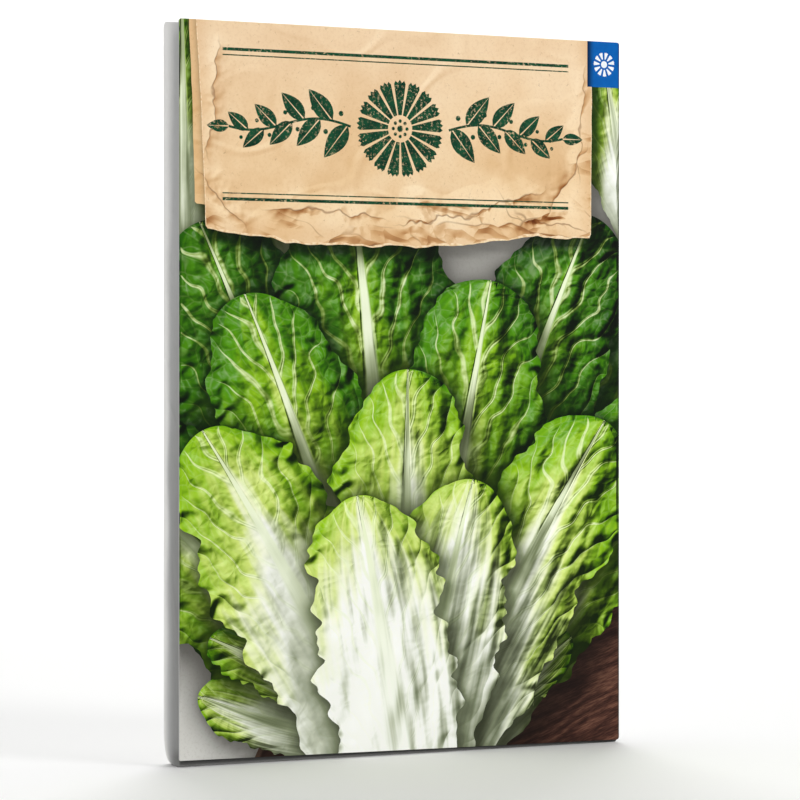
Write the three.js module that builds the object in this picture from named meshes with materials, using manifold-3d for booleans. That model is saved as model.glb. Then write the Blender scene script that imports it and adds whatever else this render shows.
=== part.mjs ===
// A filled seed packet: a folded paper bag, closed at the back with glue, that holds a flat
// sachet of salad seed. It stands on its folded base with its front panel towards -Y.
// Millimetres, +Z up. The origin is at the middle of the base, on the surface it stands on.
import * as THREE from 'three';
import { mergeVertices } from 'three/addons/utils/BufferGeometryUtils.js';
import Module from 'manifold-3d';

const wasm = await Module();
wasm.setup();

// The packet
const WIDTH = 110;
const HEIGHT = 160;
const DEPTH = 10;
const SHEET = 0.3; // the bag's paper, thicker than real so that it stays a sound solid
const GLUE = 0.2;
const GAP = 0.1; // air between glue and paper
const LAYER = SHEET + GAP + GLUE + GAP; // from one glued layer of paper to the next

// Its folds
const FRONT = -DEPTH / 2;
const REAR = DEPTH / 2 - LAYER; // outside of the back leaves; the two flaps lie over them
const REAR_RADIUS = 1.8;
const LIP = 1.5; // height of the front panel's lower edge over the base
const LIP_INSET = 0.6;
const PINCH = 1.8; // how far each lower rear corner is drawn in
const PINCH_HEIGHT = 7;
const SEAM_OVERLAP = 16;
const BOTTOM_FLAP = 17;
const TOP_FLAP = 24;
const FLAP_WIDTH = 98;

// The sachet inside
const SACHET_WIDTH = 84;
const SACHET_HEIGHT = 120;
const SACHET_BASE = 7;
const SACHET_MIDDLE = -0.8; // y of the plane between its two webs
const SACHET_BULGE = 3.2;
const SACHET_SEAL = 6;
const WEB = 0.2;
const WEB_GAP = 0.3;

// The seeds
const SEED_COUNT = 44;
const SEED_LENGTH = 2.6;
const SEED_RADIUS = 0.62;
const SEED_PITCH = 2.85;
const SEED_LAYER = 1.9;

const paper = (color, roughness) => new THREE.MeshStandardMaterial({ color, roughness, metalness: 0 });
const bagPaper = paper(0xe4e3e0, 0.7);
const gluePaste = paper(0xe8dfc4, 0.45);
const webPaper = paper(0xdfe1e2, 0.5);
const seedHusk = paper(0x9a7a52, 0.8);

const packet = new THREE.Group();

function place(name, geometry, material, x = 0, y = 0, z = 0) {
  const mesh = new THREE.Mesh(geometry, material);
  mesh.name = name;
  mesh.position.set(x, y, z);
  packet.add(mesh);
  return mesh;
}

// ---- joining and cutting ----

function toSolid(geometry) {
  const bare = geometry.index ? geometry.clone() : geometry;
  bare.deleteAttribute('normal');
  bare.deleteAttribute('uv');
  const merged = mergeVertices(bare, 1e-4);
  return new wasm.Manifold(new wasm.Mesh({
    numProp: 3,
    vertProperties: new Float32Array(merged.attributes.position.array),
    triVerts: new Uint32Array(merged.index.array),
  }));
}

function toGeometry(solid) {
  const { vertProperties, triVerts } = solid.getMesh();
  const geometry = new THREE.BufferGeometry();
  geometry.setAttribute('position', new THREE.BufferAttribute(vertProperties, 3));
  geometry.setIndex(new THREE.BufferAttribute(triVerts, 1));
  return geometry;
}

// A box from its two corners.
function block([x0, y0, z0], [x1, y1, z1]) {
  const box = new THREE.BoxGeometry(x1 - x0, y1 - y0, z1 - z0);
  return box.translate((x0 + x1) / 2, (y0 + y1) / 2, (z0 + z1) / 2);
}

// A strip of folded sheet: an outline of [y, z] points drawn out along X, centred.
function strip(points, width) {
  const outline = new THREE.Shape(points.map(([y, z]) => new THREE.Vector2(y, z)));
  const geometry = new THREE.ExtrudeGeometry(outline, { depth: width, bevelEnabled: false });
  const yzToFrame = new THREE.Matrix4().makeBasis(
    new THREE.Vector3(0, 1, 0), new THREE.Vector3(0, 0, 1), new THREE.Vector3(1, 0, 0));
  return geometry.applyMatrix4(yzToFrame).translate(-width / 2, 0, 0);
}

// ---- the bag's outer form ----

// Heights of the rings from which the form is drawn, close together where it bends.
const RINGS = [0, 0.25, 0.7, LIP, 2.6, 4, 5.8, PINCH_HEIGHT, 60, 110, HEIGHT - 5, HEIGHT];

// The bag as a full body, drawn in by inset on every side.
function bagForm(inset) {
  const half = WIDTH / 2 - inset;
  const front = FRONT + inset;
  const rear = REAR - inset;
  const radius = REAR_RADIUS - inset;
  const outline = new THREE.Shape();
  outline.moveTo(-half, front);
  outline.lineTo(half, front);
  outline.lineTo(half, rear - radius);
  outline.absarc(half - radius, rear - radius, radius, 0, Math.PI / 2);
  outline.lineTo(radius - half, rear);
  outline.absarc(radius - half, rear - radius, radius, Math.PI / 2, Math.PI);
  const geometry = new THREE.ExtrudeGeometry(outline, {
    depth: RINGS.length - 1, steps: RINGS.length - 1, curveSegments: 5, bevelEnabled: false,
  });
  const position = geometry.attributes.position;
  for (let i = 0; i < position.count; i += 1) {
    const ring = RINGS[Math.round(position.getZ(i))];
    let x = position.getX(i);
    let y = position.getY(i);
    const back = (y - front) / (rear - front);
    // the underside turns in at the front edge and at the rear edge
    const under = Math.max(0, 1 - ring / LIP) ** 2;
    y += LIP_INSET * under * (1 - 2 * back);
    // the lower rear corners are drawn in, in a quarter ellipse
    const low = Math.max(0, 1 - ring / PINCH_HEIGHT);
    const drawn = PINCH * (1 - Math.sqrt(1 - low * low));
    x -= Math.sign(x) * drawn * back;
    position.setXYZ(i, x, y, Math.min(Math.max(ring, inset), HEIGHT - inset));
  }
  return geometry;
}

// ---- the bag: one sheet, folded round and glued ----

const seamLeft = -SEAM_OVERLAP / 2;
const seamRight = SEAM_OVERLAP / 2;
const slit = 0.3;
const flapHalf = FLAP_WIDTH / 2;
const tuck = 1.6; // height of the slit through which each flap leaves the bag

const hollow = toSolid(bagForm(0)).subtract(toSolid(bagForm(SHEET)));

// The left leaf steps inwards and runs on under the right leaf.
const underLeaf = toSolid(block(
  [seamLeft - 1, REAR - SHEET - LAYER, 6], [seamRight, REAR - LAYER, HEIGHT - 6]));
const step = toSolid(block(
  [seamLeft - 1, REAR - LAYER - SHEET, 6], [seamLeft - 0.7, REAR, HEIGHT - 6]));
const seamSlit = toSolid(block([seamLeft - slit, REAR - 1, tuck], [seamLeft, REAR + 1, HEIGHT - tuck]));

// Each flap comes out of the bag at its end and lies flat on the back leaves.
const flapInner = REAR + LAYER - SHEET;
const flapOuter = REAR + LAYER;
const bottomFlap = toSolid(strip([
  [2.5, 0], [REAR - 0.4, 0], [flapInner - 0.05, 0.25], [flapOuter, 0.9], [flapOuter, BOTTOM_FLAP],
  [flapInner, BOTTOM_FLAP], [flapInner, 1.1], [REAR, 0.55], [REAR - 0.6, SHEET], [2.5, SHEET],
], FLAP_WIDTH));
const topFlap = toSolid(strip([
  [2.5, HEIGHT - SHEET], [REAR - 0.6, HEIGHT - SHEET], [REAR, HEIGHT - 0.55],
  [flapInner, HEIGHT - 1.1], [flapInner, HEIGHT - TOP_FLAP], [flapOuter, HEIGHT - TOP_FLAP],
  [flapOuter, HEIGHT - 0.9], [flapInner - 0.05, HEIGHT - 0.25], [REAR - 0.4, HEIGHT],
  [2.5, HEIGHT],
], FLAP_WIDTH));
const bottomTuck = toSolid(block(
  [-flapHalf - slit, REAR - 1, SHEET + 0.02], [flapHalf + slit, REAR + 1, tuck]));
const topTuck = toSolid(block(
  [-flapHalf - slit, REAR - 1, HEIGHT - tuck], [flapHalf + slit, REAR + 1, HEIGHT - SHEET - 0.02]));

const bag = hollow
  .subtract(seamSlit).subtract(bottomTuck).subtract(topTuck)
  .add(underLeaf).add(step).add(bottomFlap).add(topFlap);
place('outer_bag', toGeometry(bag), bagPaper);

// ---- glue: one strip in the back seam and one under each flap ----

const glueStrip = (width, height) => new THREE.BoxGeometry(width, GLUE, height);
const seamGlueHeight = HEIGHT - 18;
place('back_seam_glue', glueStrip(10, seamGlueHeight), gluePaste,
  1, REAR - LAYER + GAP + GLUE / 2, HEIGHT / 2);
place('bottom_flap_glue', glueStrip(88, 8), gluePaste, 0, REAR + GAP + GLUE / 2, 11);
place('top_flap_glue', glueStrip(88, 12), gluePaste, 0, REAR + GAP + GLUE / 2, HEIGHT - 15);

// ---- the sachet: two webs sealed together round their edges ----

// How far a web stands out from the sealed border at x, z: fullest low down, where the seed is.
function bulge(x, z) {
  const across = Math.min(1, Math.abs(x) / (SACHET_WIDTH / 2 - SACHET_SEAL));
  const up = (z - SACHET_BASE - SACHET_SEAL) / (SACHET_HEIGHT - 2 * SACHET_SEAL);
  if (up <= 0 || up >= 1) return 0;
  const foot = 1 - Math.max(0, 1 - up / 0.07) ** 2;
  const fall = Math.cos((Math.PI / 2) * up ** 1.5);
  return SACHET_BULGE * (1 - across ** 4) * foot * fall;
}

function web(side) {
  const geometry = new THREE.BoxGeometry(SACHET_WIDTH, WEB, SACHET_HEIGHT, 14, 1, 22);
  geometry.translate(0, side * (WEB_GAP + WEB) / 2, SACHET_BASE + SACHET_HEIGHT / 2);
  const position = geometry.attributes.position;
  for (let i = 0; i < position.count; i += 1) {
    const out = bulge(position.getX(i), position.getZ(i));
    position.setY(i, position.getY(i) + side * out);
  }
  return toGeometry(toSolid(geometry));
}
place('sachet_front_web', web(-1), webPaper, 0, SACHET_MIDDLE, 0);
place('sachet_back_web', web(1), webPaper, 0, SACHET_MIDDLE, 0);

// ---- the seeds: small ribbed wedges, blunt at the top, heaped in the foot of the sachet ----

const seedProfile = [
  [0, 0], [0.3, 0.08], [0.66, 0.45], [0.96, 0.86], [0.8, 0.98], [0, 1],
].map(([r, along]) => new THREE.Vector2(r * SEED_RADIUS, (along - 0.5) * SEED_LENGTH));

// A seed lying along X.
function seedGeometry(ribs) {
  const geometry = new THREE.LatheGeometry(seedProfile, ribs).rotateZ(Math.PI / 2);
  return toGeometry(toSolid(geometry));
}

// Places where a seed fits between the webs, lowest first and nearest the middle.
function seedPlaces() {
  const places = [];
  const rowHeight = SEED_PITCH * Math.sin(Math.PI / 3);
  const floor = SACHET_BASE + SACHET_SEAL + 4.6;
  for (let layer = -1; layer <= 1; layer += 1) {
    for (let row = 0; row < 8; row += 1) {
      for (let column = -12; column <= 12; column += 1) {
        const shift = (row % 2) / 2 + layer / 3;
        const x = (column + shift) * SEED_PITCH;
        const z = floor + row * rowHeight + 0.4 * Math.abs(layer);
        const room = bulge(Math.abs(x) + SEED_LENGTH / 2, z - SEED_LENGTH / 2);
        const needed = Math.abs(layer) * SEED_LAYER + 0.85;
        if (room > needed) places.push({ x, y: SACHET_MIDDLE + layer * SEED_LAYER, z });
      }
    }
  }
  const rank = ({ x, z }) => z + (x / 9) ** 2;
  return places.sort((a, b) => rank(a) - rank(b)).slice(0, SEED_COUNT);
}

const seedShapes = [5, 6].map(seedGeometry);
const GOLDEN_ANGLE = Math.PI * (3 - Math.sqrt(5));
seedPlaces().forEach(({ x, y, z }, i) => {
  const name = `seed_${String(i + 1).padStart(2, '0')}`;
  const seed = place(name, seedShapes[i % 2], seedHusk, x, y, z);
  seed.rotation.order = 'YZX';
  seed.rotation.set(i * 2.1, i * GOLDEN_ANGLE, 0.2 * Math.sin(i * 1.7)); // rolled, turned, tilted
});

export default packet;
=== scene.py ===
"""A filled seed packet, standing: a flat printed front panel on a soft white paper bag.

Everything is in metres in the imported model's frame. The print is worked out in millimetres, across from
the front panel's middle and up from its base, and cut into one flat mesh. Every leaf, label and ornament is
a patch of that mesh, and each kind of patch has a material of its own.
"""
import math

import bmesh
import bpy
import numpy as np
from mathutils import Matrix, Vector, geometry


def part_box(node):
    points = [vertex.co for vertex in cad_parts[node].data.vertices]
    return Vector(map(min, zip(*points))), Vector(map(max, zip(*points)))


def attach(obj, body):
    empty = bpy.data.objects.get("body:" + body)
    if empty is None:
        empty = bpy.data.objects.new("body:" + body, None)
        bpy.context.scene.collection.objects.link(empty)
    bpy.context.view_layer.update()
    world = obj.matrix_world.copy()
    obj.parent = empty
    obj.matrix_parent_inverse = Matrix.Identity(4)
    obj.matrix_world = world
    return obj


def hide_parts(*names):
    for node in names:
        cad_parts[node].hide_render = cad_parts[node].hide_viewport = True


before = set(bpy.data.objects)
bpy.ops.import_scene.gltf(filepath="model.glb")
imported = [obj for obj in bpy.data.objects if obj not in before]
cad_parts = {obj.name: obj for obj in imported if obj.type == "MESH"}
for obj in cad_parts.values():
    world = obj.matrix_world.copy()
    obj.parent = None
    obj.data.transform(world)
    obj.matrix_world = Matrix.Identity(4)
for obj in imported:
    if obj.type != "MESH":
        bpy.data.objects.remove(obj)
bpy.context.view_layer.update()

MM = 0.001
DECIMETRE = 100            # millimetres
rng = np.random.default_rng(11)

bag_low, bag_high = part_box("outer_bag")
WIDTH = (bag_high.x - bag_low.x) / MM
HEIGHT = bag_high.z / MM
FRONT = bag_low.y / MM
HALF = WIDTH / 2

# The front panel, in millimetres
PANEL_HALF = HALF - 0.25
PANEL_LEFT_FOOT, PANEL_RIGHT_FOOT = 1.5, 0.6    # height of its lower edge at each side
PANEL_CORNER = 0.6
PANEL_SHEET = 0.35

# The label, the tab and the picture on it
LABEL_LEFT, LABEL_RIGHT, LABEL_FOOT = -50.6, 47.3, 114.2
TAB_LEFT, TAB_FOOT = 46.3, 149.6
BOARD_CENTRE, BOARD_RADIUS = (30.0, -30.0), 74.0
PAST_TOP = HEIGHT + 4      # where printed shapes that run on over the panel's top edge end
LEAF_UNIT = 50             # a leaf's half width is stored as a share of this


# ---------------- materials

def sign(operation, swapped=False):
    """The method that lets a Value take one of the signs of arithmetic."""
    def made(self, other):
        pair = (other, self) if swapped else (self, other)
        return self.paint.math(operation, *pair)
    return made


class Value:
    """A number, vector or colour that a material's nodes work out. Numbers take the signs of arithmetic."""

    def __init__(self, paint, socket):
        self.paint, self.socket = paint, socket

    def __abs__(self):
        return self.paint.math("ABSOLUTE", self)

    __add__ = __radd__ = sign("ADD")
    __mul__ = __rmul__ = sign("MULTIPLY")
    __sub__ = sign("SUBTRACT")
    __rsub__ = sign("SUBTRACT", swapped=True)
    __truediv__ = sign("DIVIDE")
    __pow__ = sign("POWER")
    __rpow__ = sign("POWER", swapped=True)


def linear(colour):
    """A colour as a shader takes it: a screen colour such as "#ffffff" made linear, numbers as they are."""
    if isinstance(colour, str):
        shares = [int(colour[i:i + 2], 16) / 255 for i in (1, 3, 5)]
        colour = [s / 12.92 if s <= 0.04045 else ((s + 0.055) / 1.055) ** 2.4 for s in shares]
    return (*colour, 1.0)


class Paint:
    """A material's node tree, written as short calls.

    x, z and here are the surface point in millimetres, in the object's own frame. Flat paint is for the
    print: here is then across and up only, and patterns read two coordinates, which is quicker.
    """

    def __init__(self, name, flat=False):
        self.dimensions = "2D" if flat else "3D"
        self.material = bpy.data.materials.new(name)
        self.material.use_nodes = True
        self.tree = self.material.node_tree
        self.tree.nodes.clear()
        point = self.stretch(self.value("TexCoord", output="Object"), 1000, 1000, 1000)
        self.x, _, self.z = self.split(point)
        self.here = self.vector(self.x, self.z) if flat else point

    def node(self, kind, inputs=None, **settings):
        """A shader node with these settings, whose inputs are numbers, colours or Values."""
        made = self.tree.nodes.new("ShaderNode" + kind)
        for key, value in settings.items():
            setattr(made, key, value)
        for key, value in (inputs or {}).items():
            socket = made.inputs[key]
            if isinstance(value, Value):
                self.tree.links.new(value.socket, socket)
            else:
                socket.default_value = linear(value) if socket.type == "RGBA" else value
        return made

    def value(self, kind, inputs=None, output=0, **settings):
        return Value(self, self.node(kind, inputs, **settings).outputs[output])

    def math(self, operation, *values, clamp=False):
        return self.value("Math", dict(enumerate(values)), operation=operation, use_clamp=clamp)

    def step(self, value, start, end, low=0.0, high=1.0):
        """Smoothly from low to high as value goes from start to end."""
        inputs = {"Value": value, "From Min": start, "From Max": end, "To Min": low, "To Max": high}
        return self.value("MapRange", inputs, interpolation_type="SMOOTHSTEP")

    def mix(self, factor, a, b, blend="MIX"):
        return self.value("Mix", {0: factor, 6: a, 7: b}, 2, data_type="RGBA", blend_type=blend)

    def ramp(self, factor, stops):
        """A colour that goes through stops, {place: colour}, as factor goes from 0 to 1."""
        made = self.node("ValToRGB", {"Fac": factor})
        elements = made.color_ramp.elements
        while len(elements) < len(stops):
            elements.new(0.5)
        for element, (place, colour) in zip(elements, stops.items()):
            element.position, element.color = place, linear(colour)
        return Value(self, made.outputs[0])

    def vector(self, x=0.0, y=0.0, z=0.0):
        return self.value("CombineXYZ", {0: x, 1: y, 2: z})

    def split(self, vector):
        return [Value(self, part) for part in self.node("SeparateXYZ", {0: vector}).outputs]

    def stretch(self, vector, x, y, z):
        return self.value("VectorMath", {0: vector, 1: (x, y, z)}, operation="MULTIPLY")

    def turned(self, vector, degrees):
        """Flat coordinates turned, so that a pattern doesn't line up with the panel's edges."""
        x, y, _ = self.split(vector)
        c, s = math.cos(math.radians(degrees)), math.sin(math.radians(degrees))
        return self.vector(x * c + y * s, x * -s + y * c)

    def dot(self, vector, fixed):
        return self.value("VectorMath", {0: vector, 1: fixed}, "Value", operation="DOT_PRODUCT")

    def noise(self, scale, detail=2.0, roughness=0.5, distortion=0.0, at=None):
        """Noise from 0 to 1, mostly near 0.5."""
        inputs = {"Vector": at or self.here, "Scale": scale, "Detail": detail, "Roughness": roughness,
                  "Distortion": distortion}
        return self.value("TexNoise", inputs, noise_dimensions=self.dimensions)

    def cells(self, vector, scale, feature="F1"):
        return self.value("TexVoronoi", {"Vector": vector, "Scale": scale}, "Distance",
                          feature=feature, voronoi_dimensions=self.dimensions)

    def attribute(self, name, output="Color"):
        return self.value("Attribute", output=output, attribute_name=name)

    def darkness(self):
        """How much of the picture's own shadow falls here, from 0 to 1."""
        return self.split(self.attribute("art"))[2]

    def bump(self, relief, strength=1.0):
        """The direction that a surface with this relief, in millimetres, faces."""
        return self.value("Bump", {"Height": relief, "Distance": MM, "Strength": strength})

    def finish(self, colour, roughness, specular, relief=None, strength=1.0):
        inputs = {"Base Color": colour, "Roughness": roughness, "Specular IOR Level": specular}
        if relief is not None:
            inputs["Normal"] = self.bump(relief, strength)
        self.node("OutputMaterial", {0: self.value("BsdfPrincipled", inputs)})
        return self.material


# ---------------- drawing on the panel, in millimetres

def inside(outline, points):
    """Which of the points lie inside a closed outline."""
    found = np.zeros(len(points), bool)
    near = np.flatnonzero(((points >= outline.min(0)) & (points <= outline.max(0))).all(1))
    x, y = points[near].T
    hits = np.zeros(len(near), int)
    for (ax, ay), (bx, by) in zip(outline, np.roll(outline, -1, axis=0)):
        if ay != by:
            hits += ((ay > y) != (by > y)) & (x < (bx - ax) * (y - ay) / (by - ay) + ax)
    found[near] = hits % 2 == 1
    return found


def clearance(outline, points):
    """How far each point is outside an outline, in millimetres: negative inside."""
    along = np.roll(outline, -1, axis=0) - outline
    length2 = np.maximum((along ** 2).sum(1), 1e-12)
    nearest = np.full(len(points), np.inf)
    batch = 2000    # points at a time, to keep the arrays small
    for i in range(0, len(points), batch):
        from_corner = points[i:i + batch, None, :] - outline[None]
        t = np.clip((from_corner * along).sum(2) / length2, 0, 1)
        gap = from_corner - t[..., None] * along
        nearest[i:i + batch] = np.sqrt((gap ** 2).sum(2).min(1))
    return np.where(inside(outline, points), -nearest, nearest)


def arc(centre, radius, start, end, steps):
    """Points round a centre, from one direction in degrees to another."""
    turns = np.linspace(math.radians(start), math.radians(end), steps)
    return [(centre[0] + radius * math.cos(a), centre[1] + radius * math.sin(a)) for a in turns]


class Tear:
    """A repeatable ragged unevenness along a line, as angular as torn paper."""

    def __init__(self):
        self.steps = []
        for gap, size in ((34, 1.5), (11, 1.0), (3.7, 0.45), (1.3, 0.12)):
            places = np.arange(-60, 560, gap)
            places = places + rng.uniform(-0.3, 0.3, len(places)) * gap
            self.steps.append((places, size * rng.uniform(-1, 1, len(places))))

    def __call__(self, s):
        return sum(np.interp(s, places, heights) for places, heights in self.steps)


def torn_sheet(tear, left, foot, right, top, lean, inset=0.0):
    """A sheet's outline: sides a little uneven, and a torn lower edge.

    lean is how far the left side moves in on its way down. inset draws a line a wavering width inside.
    """
    across = np.arange(left + lean + 0.3, right, 0.45)
    up = np.arange(foot + 1.8, top, 0.7)
    width = inset * (1 + 0.7 * np.interp(across, np.arange(-60, 61, 2.3), rng.uniform(-1, 1, 53)))
    edge = np.column_stack([across, foot + tear(across) + width])
    right_side = np.column_stack([right + 0.2 * tear(up + 90) - 0.4 * inset, up])
    slant = lean * (1 - (up - foot) / (top - foot))
    left_side = np.column_stack([left + slant + 0.2 * tear(up + 300) + 0.4 * inset, up])
    return np.vstack([edge, right_side, left_side[::-1]])


class Leaf:
    """A pictured salad leaf. t runs from 0 at its base to 1 at its tip, off sideways from its midrib."""

    def __init__(self, base, angle, length, half, bend, age, foot=0.3):
        turn = math.radians(angle)
        self.base = np.array(base, float)
        self.axis = np.array([math.sin(turn), math.cos(turn)])
        self.across = np.array([math.cos(turn), -math.sin(turn)])
        self.length, self.half, self.bend, self.age, self.foot = length, half, bend, age, foot
        self.chance = float(rng.random())
        self.waves = [(n, a * rng.uniform(0.7, 1.3), rng.uniform(0, 2 * math.pi, 2))
                      for n, a in ((2.3, 0.05), (4.6, 0.045), (8.3, 0.035), (15.0, 0.02), (27.0, 0.01))]
        self.outline = self._outline()

    def local(self, points):
        d = points - self.base
        t = d @ self.axis / self.length
        return t, d @ self.across - self.bend * self.length * t ** 2

    def half_width(self, t):
        t = np.clip(t, 0, 1)
        blade = 1.12 * np.clip(t, 0.001, 1) ** 0.9 * np.sqrt(1 - t ** 3.4)
        return self.half * np.maximum(self.foot * (1 - t) ** 1.3 + blade, 0.02)

    def _outline(self):
        """Its two sides, with a wavy and finely toothed rim."""
        t = 1 - (1 - np.linspace(0, 1, 170)) ** 1.7
        sides = []
        for side, sign in enumerate((-1, 1)):
            swing = sum(a * np.sin(2 * math.pi * n * t + phases[side]) for n, a, phases in self.waves)
            grown = np.clip(t / 0.35, 0.05, 1)
            teeth = 0.4 * (1 - 2 * np.abs((t * self.length / 2.9) % 1 - 0.5)) * grown
            off = sign * (self.half_width(t) * (1 + swing * grown * 1.3) + teeth * (t < 0.97))
            sides.append(self.base + np.outer(t * self.length, self.axis)
                         + np.outer(off + self.bend * self.length * t ** 2, self.across))
        return np.vstack([sides[1], sides[0][::-1]])


def bunch():
    """The picture: a bunch of loose salad leaves fanned out from the foot of the panel, back to front."""
    made = []
    rows = (  # base height, spread of angles, count, length, half width, age, foot
        (-3, (-37, 34), 5, (112, 124), (22, 25), 1.06, 0.26),
        (-6, (-36, 30), 5, (130, 144), (25, 29), 1.0, 0.28),
        (-8, (-38, 36), 4, (106, 118), (23, 26), 0.74, 0.34),
        (-10, (-26, 25), 3, (88, 98), (20, 23), 0.4, 0.5),
        (-11, (-10, 10), 2, (66, 82), (16, 19), 0.1, 0.7),
    )
    for row, (base, (first, last), count, lengths, halves, age, foot) in enumerate(rows):
        made += loose_leaves() if row == 3 else []
        angles = np.linspace(first, last, count) + rng.uniform(-3, 3, count)
        for angle in sorted(angles, key=abs, reverse=True):
            made.append(Leaf(
                (angle * 0.07 + rng.uniform(-0.6, 0.6), base), angle,
                rng.uniform(*lengths), rng.uniform(*halves),
                bend=0.14 * angle / 45 + rng.uniform(-0.05, 0.05),
                age=age + rng.uniform(-0.08, 0.08), foot=foot))
    return made


def far_leaves():
    """Leaves behind the bunch, most of them at both sides of the label."""
    return [
        Leaf((-54, 76), 1, 94, 13, -0.02, 0.72),
        Leaf((-20, 92), -24, 52, 13, 0.03, 0.95),
        Leaf((60, 112), -14, 46, 12, 0.04, 0.6),
    ]


def loose_leaves():
    """Small pale leaves low down at both sides of the bunch."""
    return [
        Leaf((14, 7), 64, 33, 7.4, -0.1, 0.2, 0.4),
        Leaf((-10, 3), -79, 42, 8.4, 0.1, 0.12, 0.4),
        Leaf((-12, 9), -58, 40, 7.8, -0.08, 0.34, 0.4),
    ]


# The ornament on the label: a chicory flower between two leafy sprigs, and rules above and below.

def placed(root, turn, along, out):
    """Points given along and across a direction from a root."""
    c, s = math.cos(turn), math.sin(turn)
    return np.array(root) + np.column_stack([along * c - out * s, along * s + out * c])


def petals(centre, count, start, inner, outer, narrow, wide):
    """Strap-shaped petals with toothed ends, all round a centre."""
    r = np.array([inner, outer * 0.93, outer, outer * 0.955])
    half = np.array([narrow, wide, wide * 0.75, wide * 0.36])
    along = np.concatenate([r, [outer * 1.02], r[::-1]])
    out = np.concatenate([-half, [0], half[::-1]])
    return [placed(centre, k * math.tau / count + start, along, out) for k in range(count)]


def disc(centre, radius, sides=14):
    turns = np.arange(sides) * 2 * math.pi / sides
    return np.array(centre) + radius * np.column_stack([np.cos(turns), np.sin(turns)])


def blade(root, turn, length, half):
    """A small pointed leaf shape, as its two halves with a thin gap along the middle."""
    t = np.linspace(0, 1, 9)
    bulge = half * np.sin(np.pi * t ** 0.8) ** 0.9
    gap = 0.14 * (1 - t) + 0.02
    along = np.concatenate([t, t[::-1]]) * length
    out = np.concatenate([gap, (bulge + gap)[::-1]])
    return [placed(root, turn, along, side * out) for side in (1, -1)]


def leftwards(path):
    """At each point of a path, the direction square to it on its left."""
    way = np.gradient(path, axis=0)
    way /= np.linalg.norm(way, axis=1)[:, None]
    return np.column_stack([-way[:, 1], way[:, 0]])


def ribbon(points, half):
    """A band of even width along a line of points."""
    points = np.array(points, float)
    side = leftwards(points) * half
    return np.vstack([points + side, (points - side)[::-1]])


def ornament(centre, reach):
    """A flower with a sprig at each side that runs out to reach from its centre."""
    cx, cy = centre
    shapes = petals(centre, 17, 0.1, 3.0, 10.6, 0.42, 1.45)
    shapes += [disc(dot, 0.42, 8) for dot in disc(centre, 1.7, 8)] + [disc(centre, 0.75, 10)]
    for sign in (-1, 1):
        line = [(cx + sign * x, cy + 1.5 * math.sin((x - 12) / 5.2)) for x in np.linspace(12.2, reach, 40)]
        shapes.append(ribbon(line, 0.27))
        for k, share in enumerate(np.linspace(0.04, 0.86, 8)):
            x, y = line[int(share * 39)]
            up = 1 if k % 2 else -1
            size = 1 - 0.42 * share
            turn = up * math.radians(52 - 16 * share)
            turn = turn if sign > 0 else math.pi - turn
            shapes += blade((x, y), turn, 9.4 * size, 2.25 * size)
            shapes.append(disc((x + sign * 1.6, y - up * 2.6 * size), 0.5 * size + 0.12, 8))
        shapes += blade(line[-1], 0 if sign > 0 else math.pi, 5.2, 1.25)
    return shapes


def box(left, foot, right, top):
    return np.array([(left, foot), (right, foot), (right, top), (left, top)])


def rules(left, right, foot, top):
    """A thick and a thin rule across the label, above and below the ornament."""
    lines = ((foot, 0.34), (foot + 1.25, 0.13), (top, 0.34), (top - 1.25, 0.13))
    return [box(left, y - half, right, y + half) for y, half in lines]


GROUND, LEAF, LABEL, INK, TAB, TAB_MARK, TORN, BOARD, UNDER = range(9)


def patches():
    """Everything printed, as (kind, outline, leaf or None) from the lowest, the ground, to the topmost."""
    made = [(GROUND, panel_outline(), None), (BOARD, disc(BOARD_CENTRE, BOARD_RADIUS, 160), None)]
    made += [(LEAF, leaf.outline, leaf) for leaf in far_leaves() + bunch()]
    tear = Tear()
    label = (LABEL_LEFT, LABEL_FOOT, LABEL_RIGHT, PAST_TOP, 2.2)
    flat = [(UNDER, torn_sheet(tear, LABEL_LEFT - 1.6, LABEL_FOOT + 5, LABEL_LEFT + 30, PAST_TOP, 1.2)),
            (TORN, torn_sheet(tear, *label)),
            (LABEL, torn_sheet(tear, *label, 0.5)),
            (TAB, box(TAB_LEFT, TAB_FOOT, HALF + 3, PAST_TOP))]
    middle = ((LABEL_LEFT + LABEL_RIGHT) / 2, (LABEL_FOOT + HEIGHT) / 2 + 1.2)
    drawn = ornament(middle, 41.5) + rules(LABEL_LEFT + 6, LABEL_RIGHT - 6, LABEL_FOOT + 7.6, HEIGHT - 6)
    flat += [(INK, shape) for shape in drawn]
    heart = ((TAB_LEFT + PANEL_HALF) / 2 + 0.2, (TAB_FOOT + HEIGHT) / 2)
    daisy = petals(heart, 11, 0.2, 1.2, 2.75, 0.13, 0.46) + [disc(heart, 0.8)]
    flat += [(TAB_MARK, shape) for shape in daisy]
    return made + [(kind, shape, None) for kind, shape in flat]


def panel_foot(x):
    """Height of the panel's lower edge, which is a little higher at the left."""
    share = (x + PANEL_HALF) / (2 * PANEL_HALF)
    return PANEL_LEFT_FOOT + (PANEL_RIGHT_FOOT - PANEL_LEFT_FOOT) * share


def panel_outline():
    """The panel's edge, with small round corners, anticlockwise from the lower left one."""
    points = []
    corners = ((-1, False, 0.5), (1, False, 1.0), (1, True, 1.0), (-1, True, 1.0))
    for k, (side, high, share) in enumerate(corners):
        r = PANEL_CORNER * share
        centre = (side * (PANEL_HALF - r), HEIGHT - r if high else r)
        points += arc(centre, r, 180 + 90 * k, 270 + 90 * k, 7)
    points = np.array(points)
    points[:, 1] += panel_foot(points[:, 0]) * (1 - points[:, 1] / HEIGHT)
    return points


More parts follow.
